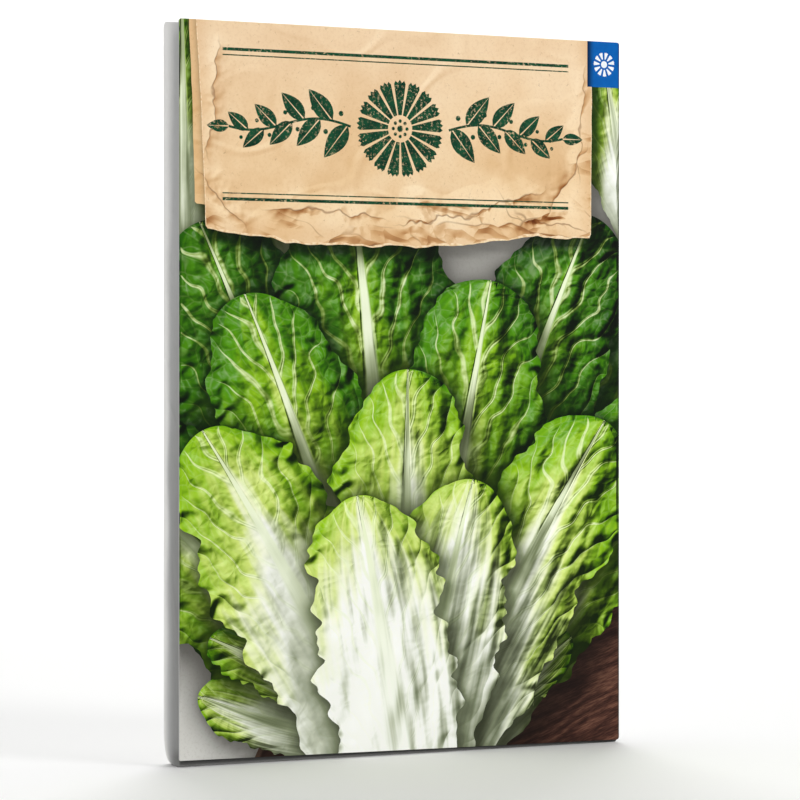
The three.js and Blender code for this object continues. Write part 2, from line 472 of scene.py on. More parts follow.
def cut_print(stack):
    """The panel's face, cut along every outline: its points, its triangles, and each triangle's patch."""
    points, edges = [], []
    for _, loop, _ in stack:
        first = len(points)
        points += [Vector(p) for p in loop]
        edges += [(first + i, first + (i + 1) % len(loop)) for i in range(len(loop))]
    pitch = 1.25    # of the grid that the mesh follows between the outlines
    across = np.arange(-PANEL_HALF + pitch / 2, PANEL_HALF, pitch)
    up = np.arange(PANEL_LEFT_FOOT + pitch / 2, HEIGHT, pitch)
    grid = np.array([(x + (0.5 * pitch if j % 2 else 0), y) for j, y in enumerate(up) for x in across])
    outline = stack[0][1]
    label = next(shape for kind, shape, _ in stack if kind == TORN)
    grid = grid[(clearance(label, grid) > 0.4) & (clearance(outline, grid) < -0.4)]
    points += [Vector(p) for p in grid]
    found, _, triangles, *_ = geometry.delaunay_2d_cdt(points, edges, [], 0, 1e-4, False)
    found = np.array([tuple(p) for p in found])
    triangles = np.array(triangles)
    middles = found[triangles].mean(1)
    keep = inside(outline, middles)
    triangles, middles = triangles[keep], middles[keep]
    patch = np.full(len(triangles), -1)
    for i in reversed(range(len(stack))):
        free = np.flatnonzero(patch < 0)
        patch[free[inside(stack[i][1], middles[free])]] = i
    return found, triangles, patch


SHADOW_FALL = np.array([1.3, -1.7])  # the picture's light comes from the upper left


def shade(stack, number, points):
    """How dark the patches above make these points of one patch: 0 lit, 1 black."""
    lit = np.ones(len(points))
    for kind, outline, _ in stack[number + 1:]:
        near = ((points > outline.min(0) - 9) & (points < outline.max(0) + 9)).all(1)
        if kind not in (BOARD, LEAF, TORN, UNDER) or not near.any():
            continue
        soft = 5.0 if kind == LEAF else 2.2
        outline = outline[::2]
        cast = np.exp(-np.maximum(clearance(outline, points[near] - SHADOW_FALL), 0) / soft)
        touch = np.exp(-np.maximum(clearance(outline, points[near]), 0) / 0.9)
        lit[near] *= (1 - 0.82 * cast) * (1 - 0.45 * touch)
    return 1 - lit


def printed_panel():
    """The print as a flat mesh, with what its paint reads: two UV maps, and the colour attribute art."""
    stack = patches()
    points, triangles, patch = cut_print(stack)
    mesh = bpy.data.meshes.new("front_panel")
    mesh.from_pydata([(x * MM, FRONT * MM, y * MM) for x, y in points], [], triangles.tolist())
    for material in [inks[kind] for kind in sorted(inks)] + [paper]:
        mesh.materials.append(material)
    kinds = np.array([kind for kind, _, _ in stack], np.int32)
    mesh.polygons.foreach_set("material_index", kinds[patch])
    corners = len(mesh.loops)
    span = np.zeros((corners, 2), np.float32)       # across a leaf from -1 to 1, along it from 0 to 1
    measure = np.zeros((corners, 2), np.float32)    # the same in decimetres
    art = np.zeros((corners, 4), np.float32)        # age, chance, shade, half width
    for number in np.unique(patch):
        kind, _, leaf = stack[number]
        if kind not in (GROUND, BOARD, LEAF, UNDER):
            continue
        faces = np.flatnonzero(patch == number)
        loops = (faces[:, None] * 3 + np.arange(3)).ravel()
        where = points[triangles[faces].ravel()]
        art[loops, 2] = shade(stack, number, where)
        if leaf:
            t, off = leaf.local(where)
            span[loops] = np.column_stack([off / leaf.half_width(t), t])
            measure[loops] = np.column_stack([off, t * leaf.length]) / DECIMETRE
            art[loops, 0], art[loops, 1], art[loops, 3] = leaf.age, leaf.chance, leaf.half / LEAF_UNIT
    for name, values in (("span", span), ("measure", measure)):
        mesh.uv_layers.new(name=name).data.foreach_set("uv", values.ravel())
    mesh.color_attributes.new("art", "FLOAT_COLOR", "CORNER").data.foreach_set("color", art.ravel())
    mesh.update()
    return mesh


# ---------------- printed materials

PICTURE_LIGHT = Vector((-0.5, -0.62, 0.6)).normalized()
PICTURE_SHINE = (PICTURE_LIGHT + Vector((0, -1, 0))).normalized()
LEVEL = PICTURE_LIGHT.dot((0, -1, 0))    # how much of that light a level patch takes


inks = {}    # each kind's material


def printed(kind, name, roughness=0.46, specular=0.06):
    """Makes a kind's material, ink on coated paper, from a function that works out the ink's colour.

    The panel's right edge is dark, and the sheet has a grain and waves of its own.
    """
    def made(colour_of):
        p = Paint("printed_" + name, flat=True)
        colour = colour_of(p)
        rim = p.step(p.x, PANEL_HALF - 0.55, PANEL_HALF - 0.1)
        colour = p.mix(rim * 0.5, colour, (0.02, 0.025, 0.02))
        grain = p.noise(5.5, 2.0, 0.6)
        relief = grain * 0.014 + p.noise(0.045, 0.0) * 0.3
        inks[kind] = p.finish(colour, grain * 0.12 + (roughness - 0.06), specular, relief, 0.8)
        return colour_of
    return made


# What a pictured leaf's colour is multiplied by, from its darkest to its brightest light, green and white
LEAF_TONES = {0.0: (0.008, 0.02, 0.0), 0.16: (0.07, 0.11, 0.01), 0.36: (0.31, 0.41, 0.11),
              0.52: (0.67, 0.75, 0.4), 0.66: (0.96, 0.99, 0.76), 1.0: (1.17, 1.17, 1.05)}
PALE_TONES = {0.0: (0.04, 0.045, 0.025), 0.16: (0.22, 0.25, 0.16), 0.36: (0.59, 0.62, 0.51),
              0.5: (0.87, 0.89, 0.83), 0.62: (1.02, 1.02, 1.01), 1.0: (1.08, 1.08, 1.08)}


@printed(LEAF, "leaf")
def leaf_colour(p):
    """A pictured leaf: s and t run across and along it, and off and along are the same in millimetres."""
    s, t, _ = p.split(p.value("UVMap", uv_map="span"))
    measure = p.value("UVMap", uv_map="measure")
    off, along, _ = p.split(p.stretch(measure, DECIMETRE, DECIMETRE, 0))
    age, chance, dark = p.split(p.attribute("art"))
    half = p.attribute("art", "Alpha") * LEAF_UNIT
    own_along = along + chance * 900    # chance sets each leaf's patterns apart from the others'
    p.here = p.vector(off, own_along)
    away, away_mm = abs(s), abs(off)
    wander = p.noise(0.1, 1.0)
    free = p.math("SUBTRACT", 1.0, t, clamp=True)

    # the broad midrib, the side veins that rise steeply from it, and the fine net between them
    rib_half = free ** 1.4 * (half * 0.22 + 2.0) + 0.28
    rib = p.step(away_mm, rib_half, rib_half * 0.45)
    right = p.math("GREATER_THAN", s, 0.0)
    fan = away_mm ** 0.86 * 3.7
    row = (along - fan) / (half * 0.3 + 4.6) + right * 0.5 + wander * 1.5
    beside = abs(p.math("FRACT", row + 19.0) - 0.5)
    inner = p.math("SUBTRACT", 1.0, away, clamp=True)
    vein_half = inner ** 1.7 * 0.24 + 0.022
    vein = p.step(beside, vein_half, vein_half * 0.3) * p.step(away, 1.0, 0.7)
    drift = wander * 7.0
    edge = p.cells(p.vector(off + drift, own_along - drift), 0.34, "DISTANCE_TO_EDGE")
    net = p.step(edge, 0.1, 0.0)

    # white at the foot and beside the rib, then lime, then deep green towards the tip and the rim
    near_rib = p.step(away_mm, rib_half * 3.4, rib_half) * free
    strands = p.noise(2.2, 1.4, 0.5, at=p.vector(s * 3.2, own_along * 0.018))
    green = age * 0.6 + t * 0.84 + away * 0.26 + wander * 0.24 + strands * 0.3 - near_rib * 0.42 - 0.94
    whiteness = p.math("MAXIMUM", rib, p.step(green, 0.38, 0.0))
    leafy = 1.0 - whiteness * 0.75

    # the leaf's pictured relief, in millimetres: smooth and stranded where white, crumpled where green
    quilt = (1.0 - (1.0 - beside * 2.0) ** 2.0) * (away * 0.3 + 0.2)
    crumple = p.noise(0.26, 1.5, 0.5) * (age + 0.5)
    blade = quilt + crumple + p.step(edge, 0.0, 0.42) * 0.1 + vein * vein_half * 0.6
    flutter = p.math("SINE", along * 0.62 + wander * 16 + right * 2.0) * (half * 0.02 + 0.12)
    fluting = p.noise(1.0, 1.0, at=p.stretch(p.here, 0.8, 0.04, 1)) * 0.03 + 0.09
    relief = p.noise(1.0, 1.0, at=p.stretch(p.here, 0.17, 0.05, 1)) * 3.4
    relief += strands * whiteness * half * 0.04 * (t * 0.7 + 0.25)
    relief += (blade * (1.0 - rib) + away ** 3.0 * flutter) * leafy + rib * rib_half * fluting
    relief += away ** 1.7 * half * -0.165
    normal = p.bump(relief)
    light = p.math("MAXIMUM", p.dot(normal, PICTURE_LIGHT), 0.0) * (1.0 - dark)
    gloss = p.math("MAXIMUM", p.dot(normal, PICTURE_SHINE), 0.0) ** 30.0 * 0.1 * (1.0 - dark)

    blade_colour = p.ramp(green, {
        0.0: "#fcfdf8", 0.13: "#f2f6da", 0.28: "#d0e180",
        0.48: "#93c01c", 0.7: "#509102", 1.0: "#205700"})
    pale = p.mix(t ** 1.6 * 0.7, "#fcfdf8", "#daeba2")
    white = p.math("MAXIMUM", rib * 0.95, p.math("MAXIMUM", vein, net * 0.12) * 0.66)
    colour = p.mix(white, blade_colour, pale)
    colour = p.mix(whiteness, *[p.mix(1.0, colour, p.ramp(light, tones), "MULTIPLY")
                                for tones in (LEAF_TONES, PALE_TONES)])
    return p.mix(1.0, colour, p.vector(gloss, gloss, gloss * 0.9), "ADD")


@printed(GROUND, "ground")
def ground_colour(p):
    """The pale table top in the picture."""
    colour = p.ramp(p.noise(0.03, 2.0), {0.3: "#d6d4cd", 0.7: "#eae9e4"})
    grit = p.step(p.noise(1.6, 2.0, 0.7), 0.5, 0.72)
    colour = p.mix(grit * 0.16, colour, "#a89e94")
    return p.mix(p.darkness() ** 1.7 * 0.9, colour, "#36332c")


@printed(BOARD, "board")
def board_colour(p):
    """The dark wooden board that the bunch lies on: long grain, pores and a worn lighter rim."""
    slant = p.turned(p.here, 20)
    warp = p.noise(1.0, 2.0, at=p.stretch(slant, 0.03, 0.12, 1))
    rings = p.math("SINE", p.split(slant)[1] * 1.15 + warp * 26)
    pores = p.noise(1.0, 2.0, 0.6, at=p.stretch(slant, 0.35, 3.2, 1))
    colour = p.ramp(rings * 0.16 + pores * 0.9 + 0.02, {0.25: "#3a221c", 0.5: "#5c3a2f", 0.8: "#865c4a"})
    out = p.vector(p.x - BOARD_CENTRE[0], p.z - BOARD_CENTRE[1])
    rim = BOARD_RADIUS - p.value("VectorMath", {0: out}, "Value", operation="LENGTH")
    colour = p.mix(p.step(rim, 1.5, 0.7) * 0.6, colour, "#b08a72")
    colour = p.mix(p.step(rim, 3.4, 2.2) * p.step(rim, 1.0, 1.6) * 0.5, colour, "#1e110e")
    return p.mix(p.darkness() * 0.92, colour, "#140c09")


KRAFT_FOLDS = (  # middle, direction in degrees, length, depth in millimetres
    ((-20, 119.5), -5, 34, 1.5), ((8, 118.5), 9, 26, -1.7), ((24, 122.5), 17, 26, 1.6),
    ((37, 118.0), -9, 24, 1.5), ((41, 128.0), 56, 24, -1.5), ((45, 141.0), 83, 30, 0.9),
    ((-45, 122.0), -50, 22, 1.5), ((-47, 143.0), 86, 30, 0.9),
)


@printed(LABEL, "kraft", 0.58)
def kraft(p):
    """The label's printed kraft: warm and mottled, with specks, and creased towards its torn edge."""
    askew = p.turned(p.here, 33)
    body = p.ramp(p.noise(0.05, 3.0, 0.6), {0.3: "#e4be8e", 0.5: "#eecda1", 0.72: "#f4d8b0"})
    body = p.mix(p.step(p.z, HEIGHT - 32, HEIGHT, 0.0, 0.45), body, "#f6dcbc")
    mottle = p.step(p.noise(1.3, 3.0, 0.7, at=askew), 0.45, 0.75)
    body = p.mix(mottle * 0.2, body, "#d0a574")
    specks = p.step(p.noise(1.7, 1.0, 0.5, 1.2, at=askew), 0.74, 0.82)
    body = p.mix(specks * 0.4, body, "#96683e")

    # soft creases all over, crumpled facets low down and up the right side, and a few sharp folds
    ridge = abs(p.noise(0.05, 1.0, 0.5, at=p.stretch(p.here, 0.6, 1, 1)) - 0.5)
    rise, aside = p.z - LABEL_FOOT, LABEL_RIGHT - p.x
    reach = p.math("MINIMUM", rise + aside * 0.09, aside * 1.1 + rise * 0.42)
    worn = p.step(reach + p.noise(0.07, 1.0) * 14, 21.0, 11.0)
    drift = p.vector(p.noise(0.12, 1.0) * 5.0, p.noise(0.12, 1.0, at=askew) * 5.0)
    slant = p.stretch(p.turned(p.here, -14), 0.62, 1.3, 1)
    bent = p.value("VectorMath", {0: slant, 1: drift})
    relief = p.step(ridge, 0.0, 0.05) * p.noise(0.04, 1.0) * -0.18
    relief += worn * (p.cells(bent, 0.12) * 7.5 + p.cells(bent, 0.34) * 1.2)
    wobble = (p.noise(0.16, 2.0) - 0.5) * 5.0
    line = 0.0
    for (x, z), turn, length, depth in KRAFT_FOLDS:
        along, across, _ = p.split(p.turned(p.vector(p.x - x, p.z - z), turn))
        mask = p.step(abs(along), length / 2, length / 2 - 7)
        across = abs(across + wobble)
        relief += 0.6 ** across * mask * depth
        line = p.math("MAXIMUM", line, p.step(across, 0.26, 0.05) * mask)
    tone = p.math("MINIMUM", p.dot(p.bump(relief), PICTURE_LIGHT) - LEVEL + 1.0, 1.1)
    body = p.mix(1.0, body, p.vector(tone ** 0.85, tone ** 1.35, tone ** 1.9), "MULTIPLY")
    fold = p.step(p.cells(bent, 0.12, "DISTANCE_TO_EDGE"), 0.035, 0.0) * worn
    fold *= p.step(p.noise(0.14, 1.0), 0.42, 0.56)
    body = p.mix(p.math("MAXIMUM", fold, line) * 0.55, body, "#703e1a")
    rim = p.math("MINIMUM", p.math("MINIMUM", p.x - LABEL_LEFT, aside), rise)
    return p.mix(p.step(rim, 5.0, 0.0) * 0.4, body, "#d6a670")


@printed(TORN, "torn_edge", 0.62)
def torn_colour(p):
    """The label's torn edge, where its pale fibres show."""
    fibres = p.noise(0.8, 3.0, 0.6, at=p.stretch(p.here, 1.0, 1.6, 1))
    return p.ramp(fibres, {0.3: "#deb484", 0.5: "#f3d5ac", 0.7: "#fae6c6"})


@printed(UNDER, "under_sheet", 0.6)
def under_colour(p):
    """The second sheet of kraft that shows along the label's left side."""
    colour = p.mix(1.0, kraft(p), (1.01, 0.96, 0.84), "MULTIPLY")
    return p.mix(p.darkness() ** 2.4, colour, "#462812")


@printed(INK, "ornament", 0.58)
def ornament_colour(p):
    """Dark green ink on the kraft, worn thin in places like a hand stamp."""
    patchy = p.step(p.noise(0.16, 1.0), 0.4, 0.62)
    worn = p.step(p.noise(1.5, 3.0, 0.75), 0.56, 0.66) * (patchy * 0.5 + 0.12)
    ink = p.ramp(p.noise(0.4, 2.0), {0.3: "#083422", 0.7: "#164e32"})
    return p.mix(worn, ink, kraft(p))


def flat_ink(p, dark, light):
    """An even colour with the faint mottle of a print."""
    return p.ramp(p.noise(0.5, 3.0, 0.65), {0.3: dark, 0.7: light})


@printed(TAB, "tab", 0.5, 0.05)
def tab_colour(p):
    """The tab's blue, dark beside the label, whose shadow falls on it."""
    shadow = p.step(p.x, TAB_LEFT + 2.1, TAB_LEFT, 0.0, 0.88)
    return p.mix(shadow, flat_ink(p, "#005bac", "#0062b6"), (0.0, 0.004, 0.012))


@printed(TAB_MARK, "tab_mark", 0.5, 0.05)
def tab_mark_colour(p):
    return flat_ink(p, "#e8eef4", "#fafbfc")


# ---------------- plain materials

def bag_paper():
    """The bag's paper: white, greyed by painted shade where its attribute says so, and a little crinkled."""
    p = Paint("bag_paper")
    cloud = p.noise(0.09, 3.0, 0.5)
    # painted shade: from the white paper through the sides' grey to the near black of the fold under the
    # panel
    base = p.ramp(p.attribute("painted_shade", "Fac") / 3.0, {
        0.0: "#f9f8f6", 0.333: "#bbbbbb", 0.667: "#767674",
        1.0: "#2c2c2b"})
    fibres = p.step(p.noise(1.5, 3.0, 0.7, at=p.stretch(p.here, 1.0, 1.0, 0.3)), 0.42, 0.75)
    tone = cloud * 0.07 - fibres * 0.05 + 0.97
    colour = p.mix(1.0, base, p.vector(tone, tone, tone * 0.995), "MULTIPLY")
    ridge = abs(p.noise(0.036, 1.0, 0.5, 0.4, at=p.stretch(p.here, 1.0, 1.0, 0.7)) - 0.5)
    crinkle = p.step(ridge, 0.03, 0.0) * p.step(p.noise(0.03, 1.0), 0.42, 0.6)
    relief = p.noise(2.6, 4.0, 0.65) * 0.06 + p.noise(0.12, 2.0) * 0.65 + crinkle * 0.18
    return p.finish(colour, cloud * 0.14 + 0.58, 0.3, relief)


# ---------------- pieces

def put(name, data):
    """An object with this data, in the scene."""
    made = bpy.data.objects.new(name, data)
    bpy.context.scene.collection.objects.link(made)
    return made


def piece(name, mesh, smooth=True):
    made = put(name, mesh)
    mesh.name = name
    mesh.polygons.foreach_set("use_smooth", np.full(len(mesh.polygons), smooth))
    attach(made, "root")
    return made


paper = bag_paper()


def set_painted_shade(mesh, values):
    """Painted shade on the bag's paper at each vertex: 0 white, 1 the sides' grey, 3 the fold under the
    panel.
    """
    painted_shade = mesh.attributes.new("painted_shade", "FLOAT", "POINT")
    painted_shade.data.foreach_set("value", np.broadcast_to(values, len(mesh.vertices)).astype(np.float32))


def front_panel():
    """The front panel: a thin sheet whose face is the print."""
    mesh = printed_panel()
    bm = bmesh.new()
    bm.from_mesh(mesh)
    bmesh.ops.delete(bm, geom=[v for v in bm.verts if not v.link_faces], context="VERTS")
    starts = [edge.link_loops[0] for edge in bm.edges if edge.is_boundary]
    after = {loop.vert: loop.link_loop_next.vert for loop in starts}    # from each rim vertex to the next
    behind = {vert: bm.verts.new(vert.co + Vector((0, PANEL_SHEET * MM, 0))) for vert in after}
    rim = [starts[0].vert]
    while len(rim) < len(after):
        rim.append(after[rim[-1]])
    bare = [(after[vert], vert, behind[vert], behind[after[vert]]) for vert in rim]
    for corners in bare + [[behind[vert] for vert in reversed(rim)]]:
        bm.faces.new(corners).material_index = len(inks)
    bm.to_mesh(mesh)
    bm.free()
    # the panel's bare edges and back take the sides' grey painted shade
    set_painted_shade(mesh, 1.0)
    return piece("front_panel", mesh, smooth=False)


panel = front_panel()
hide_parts("outer_bag")


# ---------------- the bag behind the panel

BODY_FRONT = FRONT + PANEL_SHEET + 0.03
SHEET = 0.3
LEAF_REAR = 4.4                         # y of the back leaves' outside; the flaps lie over them
REAR_RADIUS = 1.05
CREASE = BODY_FRONT + 0.44 * (LEAF_REAR - BODY_FRONT)   # y of the crease down each side
PINCH, PINCH_HEIGHT = 1.8, 7.0          # how the lower rear corners are drawn in
BODY_TOP = HEIGHT - 0.8
REAR_LIFT = 0.95                        # how much higher the top stands at the back than at the front
SEAM = -8.0                             # x of the overlying leaf's edge
SEAM_STEP = 0.34
SACHET_HALF, SACHET_FOOT, SACHET_TOP = 42.0, 7.0, 127.0
FLAP_HALF, FLAP_START, FLAP_RISE = 49.0, -3.0, 0.28
FLAP_MARGIN = 4.6                       # width of a flap's border that lies down on the back leaves
PASSAGE_WALL = (FLAP_HALF + 0.3, FLAP_HALF + 0.6)       # x of its passage's side wall, at foot and rim
BOTTOM_FLAP, TOP_FLAP = 17.0, 24.0
SHARP = math.radians(38)                # the body's edges that turn by more are creases


def smooth(value, start, end):
    """From 0 to 1 as value goes from start to end."""
    x = np.clip((np.asarray(value, float) - start) / (end - start), 0, 1)
    return x * x * (3 - 2 * x)


class Ripple:
    """A smooth, repeatable unevenness over a sheet, about 1 high, drawn from waves in every direction."""

    def __init__(self, wavelength, count=9):
        turns = rng.uniform(0, math.pi, count)
        length = wavelength * rng.uniform(0.6, 1.8, count)
        self.ways = np.column_stack([np.cos(turns), np.sin(turns)]) * (math.tau / length)[:, None]
        self.phases = rng.uniform(0, math.tau, count)

    def __call__(self, u, v):
        across, up = self.ways.T
        waves = np.sin(np.multiply.outer(u, across) + np.multiply.outer(v, up) + self.phases)
        return waves.sum(-1) / math.sqrt(len(self.phases))


broad_ripple, small_ripple = Ripple(60), Ripple(22)


def body_outline():
    """The bag's outline in plan: x and y from the front left corner round the back and along the front.

    Two points lie at the back seam, where the surface steps.
    """
    foot = PANEL_HALF - 0.02
    side = [(-foot, BODY_FRONT), (-foot, BODY_FRONT + 0.2)]
    side += [(-foot - (HALF - foot) * share ** 0.8, BODY_FRONT + 0.2 + (CREASE - BODY_FRONT - 0.2) * share)
             for share in np.linspace(0.12, 1, 9)]
    # behind the crease the side turns in, ever more, until it meets the rear corner
    turns = np.radians(np.linspace(0.5, 9, 9))
    run = (LEAF_REAR - REAR_RADIUS * 0.9 - CREASE) / len(turns)
    x, y = -HALF, CREASE
    for a in turns:
        x, y = x + run * math.tan(a), y + run
        side.append((x, y))
    corner = (x + REAR_RADIUS * math.cos(turns[-1]), LEAF_REAR - REAR_RADIUS)
    side += arc(corner, REAR_RADIUS, 180 - math.degrees(turns[-1]), 90, 9)[1:]
    left = np.array(side)
    start = left[-1, 0]
    foot_x, rim_x = PASSAGE_WALL
    back = np.concatenate([np.linspace(start, -rim_x, 4)[1:], np.linspace(-foot_x, SEAM - 1.2, 24),
                           [SEAM - 0.5, SEAM], [SEAM + 0.01, SEAM + 0.6],
                           np.linspace(SEAM + 1.6, foot_x, 32), np.linspace(rim_x, -start, 4)[:-1]])
    back = np.column_stack([back, np.full(len(back), LEAF_REAR)])
    front = np.column_stack([np.linspace(foot - 0.5, 0.5 - foot, 36), np.full(36, BODY_FRONT)])
    return np.vstack([left, back, left[::-1] * (-1, 1), front])


def seam_dip(x):
    """How far the lower back leaf dips by a sheet beside the edge of the upper one."""
    return (x <= SEAM) * SEAM_STEP * (1 - smooth(SEAM - x, 0.0, 12.0))


def back_relief(x, z):
    """How far the back stands in (negative) or out of its plane, in millimetres."""
    edge = np.minimum(HALF - 2 - np.abs(x), np.minimum(z, HEIGHT - z))
    relief = -0.3 * (1 - smooth(edge, 0, 16))
    # the sachet shows through as a faint raised panel with a soft border, fullest low down over the seed
    rim = np.minimum(SACHET_HALF - np.abs(x), np.minimum(z - SACHET_FOOT, SACHET_TOP - z))
    relief += 0.09 * smooth(rim, -0.8, 0.8)
    relief += 0.2 * np.exp(-((x / 26) ** 2) - ((z - 34) / 22) ** 2) - 0.22
    # creases that run in from the corners of the two flaps
    for sign in (-1, 1):
        for height, up in ((BOTTOM_FLAP, 1), (HEIGHT - TOP_FLAP, -1)):
            along = (sign * x - 26) * -0.5 + up * (z - height) * 0.86
            across = (sign * x - 50) * 0.86 + up * (z - height) * 0.5
            crease = 0.15 * np.exp(-(across / 0.8) ** 2) * smooth(along, -2, 3)
            relief += crease * (1 - smooth(along, 18, 34))
    return relief + 0.09 * broad_ripple(x, z) + 0.045 * small_ripple(x, z) - seam_dip(x)


# How far the rings at either end stand from it, and the way each flap's passage is cut into the rear edge:
# y of the surface there, and its distance from the end.
END_STEPS = (0.0, 0.12, 0.35, 0.75, 1.3, 2.0)
PASSAGE = ((FLAP_START, 0.0), (FLAP_START + 0.02, 0.34), (3.2, 0.36), (3.85, 0.6), (4.2, 1.15), (4.36, 1.95))


def share_back(y):
    """How far back a point is: 0 at the bag's front, 1 at the back leaves."""
    return np.clip((y - BODY_FRONT) / (LEAF_REAR - BODY_FRONT), 0, 1)


def top_lift(y, z):
    """How much a point near the top is raised: the top stands higher at the back."""
    return REAR_LIFT * share_back(y) * smooth(z, HEIGHT - 14, HEIGHT - 2)


def body_rings():
    """The bag's outer surface, ring above ring."""
    outline = body_outline()
    beside_flap = smooth(np.abs(outline[:, 0]), *PASSAGE_WALL)
    corner = smooth(np.abs(outline[:, 0]), FLAP_HALF + 0.6, FLAP_HALF + 5)
    heights = np.concatenate([END_STEPS, [3.0, 4.2, 5.6, 7.0, 8.6], np.linspace(11, HEIGHT - 4.5, 84),
                              BODY_TOP - np.array(END_STEPS[::-1])])
    rings = []
    for row, height in enumerate(heights):
        x, y = outline.T.copy()
        sign = np.sign(x)
        back = share_back(y)
        z = height + top_lift(y, height)
        y += smooth(back, 0.93, 1.0) * back_relief(x, z)
        # slight hollows in the sides
        on_side = smooth(back, 0.04, 0.2) * (1 - smooth(back, 0.8, 0.97))
        swell = 0.07 * broad_ripple(sign * 40 + y, z) + 0.05 * small_ripple(y * 3 + x, z)
        x -= sign * on_side * np.maximum(0.02 + swell, 0)
        # the lower rear corners are drawn in, in a quarter ellipse
        drawn = max(0.0, 1 - height / PINCH_HEIGHT)
        x -= sign * PINCH * (1 - math.sqrt(1 - drawn * drawn)) * back * corner
        # both ends round in, most of all under the front panel
        low = height < HEIGHT / 2
        end = height if low else BODY_TOP - height
        turn_in = max(0.0, 1 - end / 1.3) ** 2
        x -= sign * (0.15 if low else 0.3) * turn_in * corner
        y += turn_in * np.where(back < 0.5, 1.1 if low else 0.2, -0.3)
        # the passage of the flap
        step = min(row, len(heights) - 1 - row)
        if step < len(PASSAGE):
            flap = smooth(back, 0.9, 1.0) * (1 - beside_flap)
            passage_y, passage_end = PASSAGE[step]
            y += flap * (passage_y - y)
            level = passage_end if low else BODY_TOP - passage_end + top_lift(passage_y, BODY_TOP)
            z += flap * (level - z)
        rings.append(np.column_stack([x, y, z]))
    return np.array(rings)


def grid_faces(rows, columns, wrap=False):
    """Quads over a grid of rows by columns, closed on itself across if wrap."""
    last = columns if wrap else columns - 1
    return [(r * columns + c, r * columns + (c + 1) % columns, (r + 1) * columns + (c + 1) % columns,
             (r + 1) * columns + c) for r in range(rows - 1) for c in range(last)]


def tube_faces(rows, columns):
    """Quads round a tube of rings, and a face over each of its ends."""
    last = (rows - 1) * columns
    return grid_faces(rows, columns, wrap=True) + [tuple(range(columns)), tuple(range(last, last + columns))]


def add_solid(bm, points, faces):
    """One closed body, its faces pointing out; its vertices and its faces."""
    verts = [bm.verts.new(Vector(p) * MM) for p in points]
    made = [bm.faces.new([verts[i] for i in face]) for face in faces]
    bmesh.ops.recalc_face_normals(bm, faces=made)
    return verts, made


def sheet_strip(path, halves, lift, cut):
    """A strip of sheet along a path of (y, z), halves wide each side: its points and faces.

    lift(u, row) moves the strip outwards, and cut rounds the two corners at its far end.
    """
    path, across = np.array(path, float), 64
    inwards = leftwards(path)
    even = np.linspace(-1, 1, across)
    u = 0.5 * np.sin(even * math.pi / 2) + 0.5 * even
    length = np.concatenate([[0], np.cumsum(np.linalg.norm(np.diff(path, axis=0), axis=1))])
    points = []
    for side in (-SHEET / 2, SHEET / 2):
        for k, (y, z) in enumerate(path):
            left = length[-1] - length[k]
            half = halves[k] - (cut - math.sqrt(cut ** 2 - (cut - left) ** 2) if left < cut else 0)
            rise = side + lift(u * half, k)
            points.append(np.column_stack([u * half, y - inwards[k, 0] * rise, z - inwards[k, 1] * rise]))
    rows, count = len(path), len(path) * across
    faces = [tuple(reversed(f)) for f in grid_faces(rows, across)]
    faces += [tuple(i + count for i in f) for f in grid_faces(rows, across)]
    at = np.arange(count).reshape(rows, across)
    rim = np.concatenate([at[0], at[1:, -1], at[-1, -2::-1], at[-2:0:-1, 0]]).tolist()
    faces += [(a, b, b + count, a + count) for a, b in zip(rim, rim[1:] + rim[:1])]
    return np.vstack(points), faces


def flap(height, low):
    """One end's flap: out of its passage, round the rear edge and flat along the back leaves."""
    mid, bend = SHEET / 2, 1.0
    rest = LEAF_REAR + FLAP_RISE + mid
    path = [(y, mid) for y in np.linspace(FLAP_START + 0.1, rest - 1.1, 12)]
    path += arc((rest - bend, mid + bend), bend, -82, 0, 8)
    turned = len(path)
    end = height - 1.15 - np.array([2.5, 1.8, 1.1, 0.6, 0.25, 0.06, 0])     # close rows at the round corners
    climb = np.concatenate([[0.5, 1.2, 2.2], np.linspace(3.4, height - 4.2, 18), end])
    path += [(rest, mid + bend + z) for z in climb]
    rise = np.array([max(0.0, z - mid - bend) for _, z in path])
    halves = FLAP_HALF + 0.2 - 0.1 * rise
    ripple = Ripple(40, 5)
    last = len(path) - 1

    def lift(u, k):
        """How far the flap stands out of its path, in row k: its borders lie down on the back leaves."""
        edge = halves[k] - np.abs(u)
        z = np.full(len(u), path[k][1] if low else BODY_TOP - path[k][1])
        lowered = back_relief(u, z) + seam_dip(u) + 0.05 - FLAP_RISE
        lowered = np.maximum(lowered, -0.45) if k < turned else lowered
        margin = np.minimum(edge, 2 * (rise[last] - rise[k]))
        press = lowered * (1 - smooth(margin, 0, FLAP_MARGIN))
        wave = 0.045 * ripple(u, np.full(len(u), rise[k])) * smooth(edge, 0, 8)
        raised = 0.06 * smooth(k, last - 9, last) * smooth(np.abs(u), 10, 36)
        return smooth(k, turned - 6, turned + 2) * (press + wave + raised)

    points, faces = sheet_strip(path, halves, lift, cut=2.6)
    if not low:
        points[:, 2] = BODY_TOP - points[:, 2]
        points[:, 2] += top_lift(points[:, 1], points[:, 2])
    return points, faces


